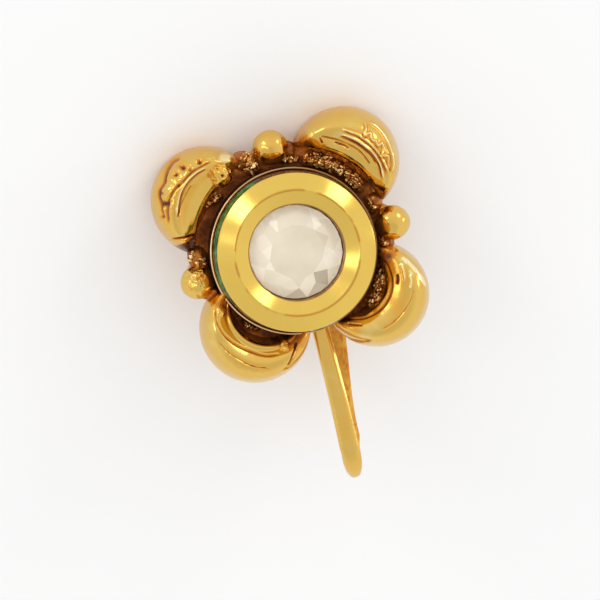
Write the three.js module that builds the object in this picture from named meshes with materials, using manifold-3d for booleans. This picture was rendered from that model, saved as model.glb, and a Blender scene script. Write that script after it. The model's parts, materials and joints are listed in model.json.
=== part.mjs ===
// A clip-on nose pin: a cast flower of four puffed petals round a cup, three granules between them, a gold
// collar with a faceted stone in the cup, and a flat hairpin clip soldered behind. Millimetres, +Z up.
// It is drawn facing +Z with its clip pointing to -Y, then laid on its back as it rests on a table.
import * as THREE from "three";
import { mergeVertices } from "three/addons/utils/BufferGeometryUtils.js";
import { ConvexHull } from "three/addons/math/ConvexHull.js";
import Module from "manifold-3d";

const wasm = await Module();
wasm.setup();

// Plate behind the flower, and the cup on it that holds the collar
const plateThickness = 0.7;
const plateSides = 144;
const cupOuterRadius = 3.62;
const cupWall = 0.09;
const cupTop = 1.75;
const cupSides = 64;

// Collar: a gold ring whose side tapers up to its rim, with an outer and an inner bevel
const seatGap = 0.04;
const collarTaper = 0.06;
const collarRimHeight = 2.9;
const ridgeRadius = 2.71;
const ridgeRise = 0.42;
const throatRadius = 2.06;
const throatDrop = 0.3;
const ledgeWidth = 0.3;
const ledgeHeight = 1.75;

// Stone and the foil under it
const stoneGap = 0.03;
const foilThickness = 0.06;
const foilGap = 0.02;
const tableRadius = 1.2;
const crownRise = 0.42;
const girdleThickness = 0.3;
const stoneFacets = 12;
const backRadius = 1.5;
const backDepth = 0.4;

// Petals
const petalCentre = 4.2;
const petalRadius = 2.36;
const petalWaist = 2.0;
const hollowRadius = 2.8;
const petalRise = 2.25;
const petalFoot = 0.14;
const lobeShare = 0.98;
const petalSections = 32;
const outerStop = 0.98;
const hollowStop = 0.74;
const hornRound = 0.24;
const hornDrop = 0.3;

// The narrowest triangles left where the cast pieces meet
const sliverWidth = 0.006;

// Granules, each on a round lug of the plate
const granuleRadius = 0.78;
const granuleCentre = 4.43;
const granuleHeight = 0.95;
const lugRadius = 0.96;
const lugCentreShare = 0.87;
const granuleSides = 16;

// Clip
const clipThickness = 0.45;
const clipWidth = 0.72;
const clipBendWidth = 0.87;
const clipTurnWidth = 0.74;
const clipPadWidth = 0.88;
const clipSink = 0.08;
const nostrilGap = 2.3;
const clipReach = 10.5;
const clipRoot = 1.2;
const clipTip = 1.5;
const clipOffset = 0.38;
const clipBow = -0.15;
const clipTwist = 0.4;
const clipSideStep = 0.72;
const clipLegSteps = 9;
const clipBendSteps = 12;
const clipTipLength = 0.35;

// One row for each petal: its direction, and its own sizes as shares of the named ones.
const petals = [
  { angle: 43.0, centre: 1.06, radius: 1.01, waist: 1.2, hollow: 1.39, rise: 1.0 },
  { angle: 134.7, centre: 1.02, radius: 1.0, waist: 1.2, hollow: 1.43, rise: 1.0 },
  { angle: 229.5, centre: 0.88, radius: 1.02, waist: 0.95, hollow: 0.6, rise: 0.96 },
  { angle: 317.0, centre: 1.0, radius: 0.97, waist: 1.1, hollow: 0.58, rise: 0.97 },
];

// One row for each granule: its direction, and its distance and size as shares.
const granules = [
  { angle: 86.5, centre: 1.02, radius: 1.0 },
  { angle: 183.0, centre: 0.972, radius: 0.97 },
  { angle: 359.5, centre: 1.02, radius: 1.0 },
];

// Across a petal, from its hollow to its outer edge: an inner wall, a lip, a channel, the dome, a cut line.
const petalProfile = [
  { across: 0.05, rise: 0.0 },
  { across: 0.0, rise: 0.3 },
  { across: 0.01, rise: 0.56 },
  { across: 0.06, rise: 0.7 },
  { across: 0.12, rise: 0.74 },
  { across: 0.18, rise: 0.69 },
  { across: 0.24, rise: 0.77 },
  { across: 0.34, rise: 0.91 },
  { across: 0.45, rise: 0.985 },
  { across: 0.52, rise: 0.995 },
  { across: 0.555, rise: 0.955 },
  { across: 0.59, rise: 0.98 },
  { across: 0.7, rise: 0.93 },
  { across: 0.81, rise: 0.82 },
  { across: 0.9, rise: 0.65 },
  { across: 0.97, rise: 0.43 },
  { across: 1.0, rise: 0.22 },
  { across: 0.97, rise: 0.06 },
  { across: 0.93, rise: 0.0 },
];

const gold = new THREE.MeshStandardMaterial({ color: 0xdcae43, roughness: 0.18, metalness: 1.0 });
const collarGold = new THREE.MeshStandardMaterial({ color: 0xe3bd58, roughness: 0.25, metalness: 1.0 });
const crystal = new THREE.MeshStandardMaterial({ color: 0xe6dfce, roughness: 0.05, metalness: 0.0 });
const silverFoil = new THREE.MeshStandardMaterial({ color: 0xd9d4c8, roughness: 0.4, metalness: 1.0 });

const radians = THREE.MathUtils.degToRad;

// A closed mesh as a solid that can be joined and cut.
function solidOf(geometry) {
  const bare = geometry.index ? geometry.toNonIndexed() : geometry.clone();
  bare.deleteAttribute("normal");
  bare.deleteAttribute("uv");
  const merged = mergeVertices(bare, 1e-5);
  return new wasm.Manifold(
    new wasm.Mesh({
      numProp: 3,
      vertProperties: merged.attributes.position.array,
      triVerts: new Uint32Array(merged.index.array),
    }),
  );
}

function geometryOf(solid) {
  const mesh = solid.getMesh();
  const geometry = new THREE.BufferGeometry();
  geometry.setAttribute("position", new THREE.BufferAttribute(mesh.vertProperties, 3));
  geometry.setIndex(new THREE.BufferAttribute(mesh.triVerts, 1));
  geometry.computeVertexNormals();
  return geometry;
}

// A solid through rings of as many points each, closed by a fan at both ends.
function loft(rings) {
  const sides = rings[0].length;
  const points = rings.flat();
  const triangles = [];
  for (let ring = 0; ring + 1 < rings.length; ring++) {
    for (let side = 0; side < sides; side++) {
      const here = ring * sides + side;
      const next = ring * sides + ((side + 1) % sides);
      triangles.push(here, next, next + sides, here, next + sides, here + sides);
    }
  }
  for (const [ring, turn] of [[0, 1], [rings.length - 1, 0]]) {
    const centre = points.length;
    const sum = rings[ring].reduce((total, p) => total.add(p), new THREE.Vector3());
    points.push(sum.divideScalar(sides));
    for (let side = 0; side < sides; side++) {
      const edge = [ring * sides + side, ring * sides + ((side + 1) % sides)];
      triangles.push(centre, edge[turn], edge[1 - turn]);
    }
  }
  const geometry = new THREE.BufferGeometry().setFromPoints(points);
  geometry.setIndex(triangles);
  return geometry;
}

// A turned shape about Z from a closed outline of radius and height.
function turned(outline, sides) {
  const profile = [...outline, outline[0]].map(([radius, height]) => new THREE.Vector2(radius, height));
  return new THREE.LatheGeometry(profile, sides).rotateX(Math.PI / 2);
}

// How far a ray from the flower's middle runs before it leaves a round lobe for good, or 0 where it misses.
function reachOver(lobe, angle) {
  const aside = lobe.centre * Math.sin(angle - radians(lobe.angle));
  const ahead = lobe.centre * Math.cos(angle - radians(lobe.angle));
  return Math.abs(aside) < lobe.radius && ahead > 0 ? ahead + Math.sqrt(lobe.radius ** 2 - aside ** 2) : 0;
}

// The flat plate behind everything: a disc under the cup with a lobe under each petal and granule.
function plateGeometry() {
  const lobes = [
    ...petals.map((row) => ({
      angle: row.angle,
      centre: petalCentre * row.centre,
      radius: petalRadius * row.radius * lobeShare,
    })),
    ...granules.map((row) => ({
      angle: row.angle,
      centre: granuleCentre * row.centre * lugCentreShare,
      radius: lugRadius,
    })),
  ];
  const outline = Array.from({ length: plateSides }, (_, i) => {
    const angle = 2 * Math.PI * i / plateSides;
    const reach = Math.max(cupOuterRadius, ...lobes.map((lobe) => reachOver(lobe, angle)));
    return new THREE.Vector2(reach * Math.cos(angle), reach * Math.sin(angle));
  });
  const settings = { depth: plateThickness, bevelEnabled: false };
  return new THREE.ExtrudeGeometry(new THREE.Shape(outline), settings);
}

// A crescent: its outer edge is an arc about its centre and its hollow a second arc. Both stop short of
// where they would meet, so the horns are blunt, and there the crescent rounds down.
function petalGeometry(row) {
  const centre = petalCentre * row.centre;
  const outer = petalRadius * row.radius;
  const hollow = hollowRadius * row.hollow;
  const hollowCentre = centre + outer - petalWaist * row.waist - hollow;
  const apart = centre - hollowCentre;
  const hornBack = (apart ** 2 + outer ** 2 - hollow ** 2) / (2 * apart);
  const outerSpan = Math.PI - Math.acos(hornBack / outer);
  const hollowSpan = Math.acos((apart - hornBack) / hollow);
  const rings = [];
  for (let step = 0; step <= petalSections; step++) {
    const along = Math.sin(Math.PI * (step / petalSections - 0.5));
    const outerAngle = along * outerSpan * outerStop;
    const hollowAngle = along * hollowSpan * hollowStop;
    const outside = [centre + outer * Math.cos(outerAngle), outer * Math.sin(outerAngle)];
    const inside = [hollowCentre + hollow * Math.cos(hollowAngle), hollow * Math.sin(hollowAngle)];
    const roundedOff = THREE.MathUtils.clamp((Math.abs(along) - 1 + hornRound) / hornRound, 0, 1);
    const ending = 0.35 + 0.65 * Math.sqrt(1 - roundedOff ** 2);
    const rise = petalRise * row.rise * (1 - hornDrop * Math.abs(along) ** 3) * ending;
    rings.push(petalProfile.map((point) => new THREE.Vector3(
      inside[0] + (outside[0] - inside[0]) * point.across,
      inside[1] + (outside[1] - inside[1]) * point.across,
      petalFoot + (rise - petalFoot) * point.rise,
    )));
  }
  return loft(rings).rotateZ(radians(row.angle));
}

function granuleGeometry(row) {
  return new THREE.SphereGeometry(granuleRadius * row.radius, granuleSides, granuleSides * 0.75)
    .rotateX(Math.PI / 2)
    .translate(granuleCentre * row.centre, 0, granuleHeight)
    .rotateZ(radians(row.angle));
}

function cupGeometry() {
  const inner = cupOuterRadius - cupWall;
  const root = plateThickness / 2;
  return turned(
    [[inner, root], [cupOuterRadius, root], [cupOuterRadius, cupTop], [inner, cupTop]],
    cupSides,
  );
}

// The clip's centre line: down behind the flower, round the bend, and up again beside itself.
function clipStations() {
  const front = clipSink - clipThickness / 2;
  const bendRadius = (nostrilGap + clipThickness) / 2;
  const bendCentre = -(clipReach - clipThickness / 2 - bendRadius);
  const stations = [];
  for (let step = 0; step <= clipLegSteps; step++) {
    const share = step / clipLegSteps;
    const y = -clipRoot + (bendCentre + clipRoot) * share;
    const width = clipWidth + (clipBendWidth - clipWidth) * share ** 1.5;
    stations.push({ x: clipOffset + clipBow * share ** 3, y, z: front, width });
  }
  for (let step = 1; step < clipBendSteps; step++) {
    const share = step / clipBendSteps;
    const turn = Math.PI * share;
    stations.push({
      x: clipOffset + clipBow + clipTwist * share ** 3,
      y: bendCentre - bendRadius * Math.sin(turn),
      z: front - bendRadius * (1 - Math.cos(turn)),
      width: clipBendWidth + (clipTurnWidth - clipBendWidth) * Math.sin(turn) ** 2,
    });
  }
  for (let step = 0; step <= clipLegSteps; step++) {
    const share = step / clipLegSteps;
    stations.push({
      x: clipOffset + clipBow + clipTwist + clipSideStep * THREE.MathUtils.smoothstep(share, 0, 0.85),
      y: bendCentre + (-clipTip - bendCentre) * share,
      z: front - 2 * bendRadius,
      width: clipBendWidth + (clipPadWidth - clipBendWidth) * share,
    });
  }
  return stations;
}

// A flat strip with rounded edges along the stations, its face square to the bend's plane.
function clipGeometry() {
  const stations = clipStations();
  const at = (row) => new THREE.Vector3(row.x, row.y, row.z);
  const edge = [[-0.5, 0.2], [-0.38, 0.44], [-0.16, 0.5], [0.16, 0.5], [0.38, 0.44], [0.5, 0.2]];
  const section = [...edge, ...edge.map(([x, y]) => [-x, -y])];
  const ringAt = (row, forward, grow) => {
    const side = new THREE.Vector3(1, 0, 0).addScaledVector(forward, -forward.x).normalize();
    const face = new THREE.Vector3().crossVectors(side, forward);
    return section.map(([across, through]) => at(row)
      .addScaledVector(side, across * row.width * grow)
      .addScaledVector(face, through * clipThickness * (0.5 + grow / 2)));
  };
  const last = stations.length - 1;
  const rings = stations.map((row, i) => {
    const forward = at(stations[Math.min(i + 1, last)]).sub(at(stations[Math.max(i - 1, 0)])).normalize();
    return ringAt(row, forward, 1);
  });
  const outward = at(stations[last]).sub(at(stations[last - 1])).normalize();
  for (const [share, grow] of [[0.4, 0.98], [0.75, 0.84], [1, 0.55]]) {
    const end = at(stations[last]).addScaledVector(outward, clipTipLength * share);
    rings.push(ringAt({ ...stations[last], x: end.x, y: end.y, z: end.z }, outward, grow));
  }
  return loft(rings);
}

// Everything that is cast or soldered is one piece of metal: the petals end against the cup's wall.
function flowerSolid() {
  const join = (geometries) => geometries.map(solidOf).reduce((whole, piece) => whole.add(piece));
  const wallMiddle = cupOuterRadius - cupWall / 2;
  const relief = join([...petals.map(petalGeometry), ...granules.map(granuleGeometry)]);
  const room = new THREE.CylinderGeometry(wallMiddle, wallMiddle, 4 * petalRise, cupSides);
  room.rotateX(Math.PI / 2);
  const floor = join([plateGeometry(), cupGeometry(), clipGeometry()]);
  return relief.subtract(solidOf(room)).add(floor).simplify(sliverWidth);
}

function collarGeometry() {
  const foot = plateThickness + seatGap;
  const sideRadius = cupOuterRadius - cupWall - seatGap;
  return turned(
    [
      [throatRadius - ledgeWidth, foot],
      [sideRadius, foot],
      [sideRadius, cupTop],
      [sideRadius - collarTaper, collarRimHeight],
      [ridgeRadius, collarRimHeight + ridgeRise],
      [throatRadius, collarRimHeight + ridgeRise - throatDrop],
      [throatRadius, ledgeHeight],
      [throatRadius - ledgeWidth, ledgeHeight],
    ],
    cupSides,
  );
}

function foilGeometry() {
  const radius = throatRadius - stoneGap;
  return new THREE.CylinderGeometry(radius, radius, foilThickness, cupSides)
    .rotateX(Math.PI / 2)
    .translate(0, 0, ledgeHeight + foilGap + foilThickness / 2);
}

// A flat-topped stone: a table, triangular star facets, kites, a girdle and a shallow back.
function stoneGeometry() {
  const girdleRadius = throatRadius - stoneGap;
  const back = ledgeHeight + foilThickness + 2 * foilGap;
  const girdle = back + backDepth;
  const crown = girdle + girdleThickness;
  const ring = (radius, height, turn, count) => Array.from({ length: count }, (_, i) => {
    const angle = (i + turn) * 2 * Math.PI / count;
    return new THREE.Vector3(radius * Math.cos(angle), radius * Math.sin(angle), height);
  });
  const double = 2 * stoneFacets;
  const starRadius = (tableRadius + girdleRadius) / 2;
  const rings = [
    ring(tableRadius, crown + crownRise, 0, stoneFacets),
    ring(starRadius, crown + crownRise * 0.62, 0.5, stoneFacets),
    ring(girdleRadius, crown, 0, double),
    ring(girdleRadius, girdle, 0, double),
    ring(backRadius, back, 0, double),
  ];
  const starts = rings.map((_, i) => rings.slice(0, i).reduce((sum, r) => sum + r.length, 0));
  const [table, star, top, bottom, under] = starts;
  const points = rings.flat();
  const peak = points.push(new THREE.Vector3(0, 0, crown + crownRise)) - 1;
  const base = points.push(new THREE.Vector3(0, 0, back)) - 1;
  const triangles = [];
  for (let i = 0; i < stoneFacets; i++) {
    const next = (i + 1) % stoneFacets;
    const here = top + 2 * i;
    const middle = here + 1;
    const after = top + 2 * next;
    triangles.push(peak, table + i, table + next);
    triangles.push(table + i, star + i, table + next);
    triangles.push(table + i, here, star + i);
    triangles.push(star + i, here, middle);
    triangles.push(star + i, middle, after);
    triangles.push(star + i, after, table + next);
  }
  for (let i = 0; i < double; i++) {
    const next = (i + 1) % double;
    triangles.push(top + i, bottom + i, bottom + next, top + i, bottom + next, top + next);
    triangles.push(bottom + i, under + i, under + next, bottom + i, under + next, bottom + next);
    triangles.push(under + i, base, under + next);
  }
  const geometry = new THREE.BufferGeometry().setFromPoints(points);
  geometry.setIndex(triangles);
  geometry.computeVertexNormals();
  return geometry;
}

function named(name, geometry, material) {
  const mesh = new THREE.Mesh(geometry, material);
  mesh.name = name;
  return mesh;
}

const flower = named("flower_and_clip", geometryOf(flowerSolid()), gold);
const pin = new THREE.Group();
pin.add(
  flower,
  named("collar", collarGeometry(), collarGold),
  named("foil", foilGeometry(), silverFoil),
  named("stone", stoneGeometry(), crystal),
);

// The way the pin lies on its back. It can rest on each face of its convex hull that has the centre of its
// metal over it; of those behind it this is the nearest to that centre, over the clip's tip and two petals.
function restingPlane() {
  const points = [];
  const vertex = new THREE.Vector3();
  pin.updateMatrixWorld(true);
  pin.traverse((part) => {
    if (!part.isMesh) return;
    const positions = part.geometry.getAttribute("position");
    for (let i = 0; i < positions.count; i++) {
      points.push(vertex.fromBufferAttribute(positions, i).applyMatrix4(part.matrixWorld).clone());
    }
  });
  const centre = massCentre(flower.geometry);
  const under = new ConvexHull().setFromPoints(points).faces
    .filter((face) => face.normal.z < 0 && holds(face, centre))
    .sort((a, b) => a.distanceToPoint(centre) < b.distanceToPoint(centre) ? 1 : -1);
  return under[0].normal.clone();
}

// Whether a point lies over a triangle, seen along the triangle's normal.
function holds(face, point) {
  let edge = face.edge;
  do {
    const start = edge.tail().point;
    const along = new THREE.Vector3().subVectors(edge.head().point, start);
    const side = new THREE.Vector3().crossVectors(face.normal, along);
    if (side.dot(new THREE.Vector3().subVectors(point, start)) < 0) return false;
    edge = edge.next;
  } while (edge !== face.edge);
  return true;
}

function massCentre(geometry) {
  const flat = geometry.toNonIndexed().getAttribute("position");
  const corners = [0, 1, 2].map(() => new THREE.Vector3());
  const sum = new THREE.Vector3();
  let volume = 0;
  for (let i = 0; i < flat.count; i += 3) {
    corners.forEach((corner, k) => corner.fromBufferAttribute(flat, i + k));
    const part = corners[0].dot(new THREE.Vector3().crossVectors(corners[1], corners[2])) / 6;
    corners.forEach((corner) => sum.addScaledVector(corner, part / 4));
    volume += part;
  }
  return sum.divideScalar(volume);
}

// The resting plane is down, the clip points to +Y, and the origin is on that plane under the middle.
const down = new THREE.Vector3(0, 0, -1);
const laid = new THREE.Quaternion().setFromUnitVectors(restingPlane(), down);
const clipWay = new THREE.Vector3(0, -1, 0).applyQuaternion(laid);
const yaw = new THREE.Quaternion().setFromAxisAngle(
  new THREE.Vector3(0, 0, 1),
  Math.PI / 2 - Math.atan2(clipWay.y, clipWay.x),
);
pin.quaternion.copy(yaw.multiply(laid));
const resting = new THREE.Group();
resting.add(pin);
const box = new THREE.Box3().setFromObject(resting, true);
const middle = box.getCenter(new THREE.Vector3());
pin.position.set(-middle.x, -middle.y, -box.min.z);

export default resting;
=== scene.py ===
import json
import math

import bpy
import numpy as np
from mathutils import Matrix, Vector


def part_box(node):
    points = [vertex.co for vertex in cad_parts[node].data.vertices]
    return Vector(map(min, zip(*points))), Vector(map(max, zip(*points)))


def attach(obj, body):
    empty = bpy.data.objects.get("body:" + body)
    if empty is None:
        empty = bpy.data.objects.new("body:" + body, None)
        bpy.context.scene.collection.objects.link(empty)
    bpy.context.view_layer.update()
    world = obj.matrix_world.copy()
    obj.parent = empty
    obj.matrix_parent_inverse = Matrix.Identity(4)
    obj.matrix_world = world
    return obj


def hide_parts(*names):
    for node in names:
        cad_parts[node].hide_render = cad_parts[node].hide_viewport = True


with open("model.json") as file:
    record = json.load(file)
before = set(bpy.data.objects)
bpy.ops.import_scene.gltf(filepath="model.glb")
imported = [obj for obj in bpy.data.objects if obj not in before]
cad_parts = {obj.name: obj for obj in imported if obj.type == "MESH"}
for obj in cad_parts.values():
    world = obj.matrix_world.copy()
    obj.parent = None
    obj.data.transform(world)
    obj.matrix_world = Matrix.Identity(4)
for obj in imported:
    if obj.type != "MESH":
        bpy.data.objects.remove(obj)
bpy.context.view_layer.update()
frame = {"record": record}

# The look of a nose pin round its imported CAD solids. Every piece is drawn in the flower's own frame, in
# millimetres with +Z out of its face and the clip to -Y, and then laid where the CAD has it.
MM = 0.001

# Sizes of the CAD part, millimetres
PLATE_THICKNESS = 0.7
CUP_OUTER_RADIUS = 3.62
CUP_WALL = 0.09
CUP_TOP = 1.75
SEAT_GAP = 0.04
COLLAR_TAPER = 0.06
COLLAR_RIM_HEIGHT = 2.9
RIDGE_RADIUS = 2.71
RIDGE_RISE = 0.42
THROAT_RADIUS = 2.06
THROAT_DROP = 0.3
LEDGE_WIDTH = 0.3
LEDGE_HEIGHT = 1.75
STONE_GAP = 0.03
FOIL_THICKNESS = 0.06
FOIL_GAP = 0.02
TABLE_RADIUS = 1.2
CROWN_RISE = 0.42
GIRDLE_THICKNESS = 0.3
STONE_FACETS = 12
BACK_RADIUS = 1.5
BACK_DEPTH = 0.4
PETAL_CENTRE = 4.2
PETAL_RADIUS = 2.36
PETAL_WAIST = 2.0
HOLLOW_RADIUS = 2.8
PETAL_RISE = 2.25
PETAL_FOOT = 0.14
LOBE_SHARE = 0.98
OUTER_STOP = 0.98
HOLLOW_STOP = 0.74
HORN_ROUND = 0.24
HORN_DROP = 0.3
GRANULE_RADIUS = 0.78
GRANULE_CENTRE = 4.43
GRANULE_HEIGHT = 0.95
LUG_RADIUS = 0.96
LUG_CENTRE_SHARE = 0.87
CLIP_THICKNESS = 0.45
CLIP_WIDTH = 0.72
CLIP_BEND_WIDTH = 0.87
CLIP_TURN_WIDTH = 0.74
CLIP_PAD_WIDTH = 0.88
CLIP_SINK = 0.08
NOSTRIL_GAP = 2.3
CLIP_REACH = 10.5
CLIP_ROOT = 1.2
CLIP_TIP = 1.5
CLIP_OFFSET = 0.38
CLIP_BOW = -0.15
CLIP_TWIST = 0.4
CLIP_SIDE_STEP = 0.72
CLIP_TIP_LENGTH = 0.35

# How far the flower is turned on the photograph
SCREEN_TURN = math.radians(15.5)

# name, direction in degrees, then its sizes as shares of the ones above
PETALS = {
    "petal_upper_right": dict(angle=43.0, centre=1.06, radius=1.01, waist=1.2, hollow=1.39, rise=1.0),
    "petal_upper_left": dict(angle=134.7, centre=1.02, radius=1.0, waist=1.2, hollow=1.43, rise=1.0),
    "petal_lower_left": dict(angle=229.5, centre=0.88, radius=1.02, waist=0.95, hollow=0.6, rise=0.96),
    "petal_lower_right": dict(angle=317.0, centre=1.0, radius=0.97, waist=1.1, hollow=0.58, rise=0.97),
}
GRANULES = {
    "granule_top": dict(angle=86.5, centre=1.02, radius=1.0),
    "granule_left": dict(angle=183.0, centre=0.972, radius=0.97),
    "granule_right": dict(angle=359.5, centre=1.02, radius=1.0),
}


def unit(vector):
    return vector / np.linalg.norm(vector)


# Where the flower's frame lies in the row's frame
mounts = {row["name"]: row for row in frame["record"]["mounts"]}
FACE_Z = unit(-np.array(mounts["flower_back"]["axis"], float))
FACE_Y = unit(np.array([0.0, -FACE_Z[2], FACE_Z[1]]))
FACE_X = np.cross(FACE_Y, FACE_Z)
FOIL_MIDDLE = LEDGE_HEIGHT + FOIL_GAP + FOIL_THICKNESS / 2
ORIGIN = np.mean(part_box("foil"), axis=0) / MM - FOIL_MIDDLE * FACE_Z


# Smooth random fields, the same on every run
LATTICE_SIZE = 4096
LATTICE = np.random.default_rng(20).random(LATTICE_SIZE) * 2 - 1
LATTICE_KEYS = np.array([73856093, 19349663, 83492791])
SEED_STEP = 977


def field(points, size, seed=0):
    """A smooth random field from -1 to 1 with bumps about as wide as size."""
    shifted = np.asarray(points, float) / size + 100.0 + 17.3 * seed
    base = np.floor(shifted).astype(np.int64)
    part = shifted - base
    part = part * part * (3 - 2 * part)
    total = 0.0
    for corner in np.ndindex(2, 2, 2):
        keys = np.bitwise_xor.reduce((base + corner) * LATTICE_KEYS, axis=-1)
        weight = np.where(corner, part, 1 - part).prod(-1)
        total = total + LATTICE[(keys + seed * SEED_STEP) % LATTICE_SIZE] * weight
    return total


def cloudy(points, size, seed=0, layers=3):
    """Several fields on one another, each half as wide and half as strong as the last."""
    shares = [0.5**layer for layer in range(layers)]
    fields = [share * field(points, size * share, seed + layer) for layer, share in enumerate(shares)]
    return sum(fields) / sum(shares)


def ease(value, low, high):
    """0 below low, 1 above high, smooth between."""
    t = np.clip((np.asarray(value, float) - low) / (high - low), 0, 1)
    return t * t * (3 - 2 * t)


def between(value, start, full, fall, end):
    """1 from full to fall, 0 before start and after end, smooth between."""
    return ease(value, start, full) * (1 - ease(value, fall, end))


def bell(value, width):
    """1 at 0, and smoothly down to 0 at about twice the width."""
    return np.exp(-((value / width) ** 2))


def spaced_angles(count):
    return np.linspace(0, 2 * math.pi, count, endpoint=False)


def circle(angles, radius, height=0.0):
    """Points round the flower's middle, each with its angle, radius and height."""
    return np.stack(np.broadcast_arrays(radius * np.cos(angles), radius * np.sin(angles), height), axis=-1)


def turned(x, y, angle):
    return x * math.cos(angle) - y * math.sin(angle), x * math.sin(angle) + y * math.cos(angle)


def smooth_curve(points, count):
    """A Catmull-Rom curve through the points, sampled at even lengths."""
    p = np.asarray(points, float)
    ends = np.vstack([2 * p[0] - p[1], p, 2 * p[-1] - p[-2]])
    t = np.linspace(0, 1, 24, endpoint=False)[:, None]
    pieces = [
        0.5 * (2 * b + (c - a) * t + (2 * a - 5 * b + 4 * c - d) * t**2 + (3 * b - a - 3 * c + d) * t**3)
        for a, b, c, d in zip(ends, ends[1:], ends[2:], ends[3:])
    ]
    curve = np.vstack(pieces + [p[-1:]])
    run = np.r_[0, np.cumsum(np.linalg.norm(np.diff(curve, axis=0), axis=1))]
    even = np.linspace(0, run[-1], count)
    return np.stack([np.interp(even, run, column) for column in curve.T], axis=1)


def near_curve(xy, curve):
    """For each point, its distance from the curve and the share of the curve's length there."""
    along = np.diff(curve, axis=0)
    offset = xy[:, None] - curve[:-1]
    t = np.clip((offset * along).sum(2) / np.maximum((along**2).sum(1), 1e-12), 0, 1)
    distance = np.sqrt(((offset - t[..., None] * along) ** 2).sum(2))
    best = distance.argmin(1)
    rows = np.arange(len(xy))
    return distance[rows, best], (best + t[rows, best]) / len(along)


def build(name, points, faces, materials, marks, node="flower_and_clip", picks=None, smooth=True):
    """A mesh piece from points in the flower's frame, riding with the part and standing for a CAD node. Its
    marks are values for its material, one for each point, or for each face of a piece that isn't smooth."""
    axes = np.stack([FACE_X, FACE_Y, FACE_Z])
    placed = (ORIGIN + np.reshape(points, (-1, 3)) @ axes) * MM
    mesh = bpy.data.meshes.new(name)
    mesh.from_pydata(placed.tolist(), [], [list(map(int, face)) for face in faces])
    for material in materials:
        mesh.materials.append(material)
    if picks is not None:
        mesh.polygons.foreach_set("material_index", np.asarray(picks, np.int32))
    for key, values in marks.items():
        layer = mesh.attributes.new(key, "FLOAT", "POINT" if smooth else "FACE")
        layer.data.foreach_set("value", np.asarray(values, np.float32).ravel())
    mesh.validate()
    mesh.update()
    mesh.polygons.foreach_set("use_smooth", [smooth] * len(mesh.polygons))
    piece = bpy.data.objects.new(name, mesh)
    bpy.context.scene.collection.objects.link(piece)
    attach(piece, "root")
    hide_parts(node)


def ring_faces(rings, sides, closed=False):
    """Quads between rings of as many points each; closed joins the last ring to the first."""
    faces = []
    for r in range(rings if closed else rings - 1):
        here, after = r * sides, (r + 1) % rings * sides
        for s in range(sides):
            t = (s + 1) % sides
            faces.append((here + s, here + t, after + t, after + s))
    return faces


def capped(rings):
    """Points and faces of a closed shape through rings of as many points each, with a fan at both ends."""
    rings = np.asarray(rings, float)
    count, sides = rings.shape[:2]
    points = np.vstack([rings.reshape(-1, 3), rings[0].mean(0), rings[-1].mean(0)])
    faces = ring_faces(count, sides)
    head, tail, last = count * sides, count * sides + 1, (count - 1) * sides
    for s in range(sides):
        t = (s + 1) % sides
        faces += [(head, t, s), (tail, last + s, last + t)]
    return points, faces


def grid_normals(grid):
    """Unit normals of a grid of points whose second direction is closed."""
    first = np.gradient(grid, axis=0)
    second = (np.roll(grid, -1, axis=1) - np.roll(grid, 1, axis=1)) / 2
    normal = np.cross(second, first)
    return normal / np.maximum(np.linalg.norm(normal, axis=2, keepdims=True), 1e-9)


class Nodes:
    """The nodes of a material or world, added and linked by short calls."""

    def __init__(self, owner):
        owner.use_nodes = True
        self.owner, self.tree = owner, owner.node_tree

    def feed(self, node, inputs):
        """Inputs set to values, or linked to other nodes' outputs."""
        for key, value in inputs.items():
            if isinstance(value, bpy.types.NodeSocket):
                self.tree.links.new(value, node.inputs[key])
            else:
                node.inputs[key].default_value = value

    def add(self, kind, output, inputs, **settings):
        node = self.tree.nodes.new("ShaderNode" + kind)
        for key, value in settings.items():
            setattr(node, key, value)
        self.feed(node, inputs)
        return node.outputs[output]

    def mark(self, name):
        """One of the values that build() gives a piece."""
        return self.add("Attribute", "Fac", {}, attribute_name=name)

    def noise(self, scale, detail, rough=0.5):
        place = self.add("TexCoord", "Object", {})
        inputs = {"Vector": place, "Scale": scale, "Detail": detail, "Roughness": rough}
        return self.add("TexNoise", "Fac", inputs)

    def spread(self, source, low, high, new_low, new_high):
        limits = {"From Min": low, "From Max": high, "To Min": new_low, "To Max": new_high}
        return self.add("MapRange", "Result", {"Value": source, **limits})

    def cloud(self, low, high, scale, detail, rough=0.5):
        """Noise that runs from low to high."""
        return self.spread(self.noise(scale, detail, rough), *NOISE_RANGE, low, high)

    def math(self, operation, first, second):
        return self.add("Math", "Value", {0: first, 1: second}, operation=operation)

    def ramp(self, source, stops):
        node = self.tree.nodes.new("ShaderNodeValToRGB")
        elements = node.color_ramp.elements
        while len(elements) < len(stops):
            elements.new(0.5)
        for element, (position, colour) in zip(elements, stops):
            element.position = position
            element.color = (*colour, 1)
        self.feed(node, {"Fac": source})
        return node.outputs["Color"]

    def bump(self, height, strength, distance, **normal):
        return self.add("Bump", "Normal", {"Height": height, "Strength": strength, "Distance": distance, **normal})

    def surface(self, inputs, node="Principled BSDF"):
        self.feed(self.tree.nodes[node], inputs)
        return self.owner


# Nearly all values of a noise node lie in this range
NOISE_RANGE = (0.3, 0.7)

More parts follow.
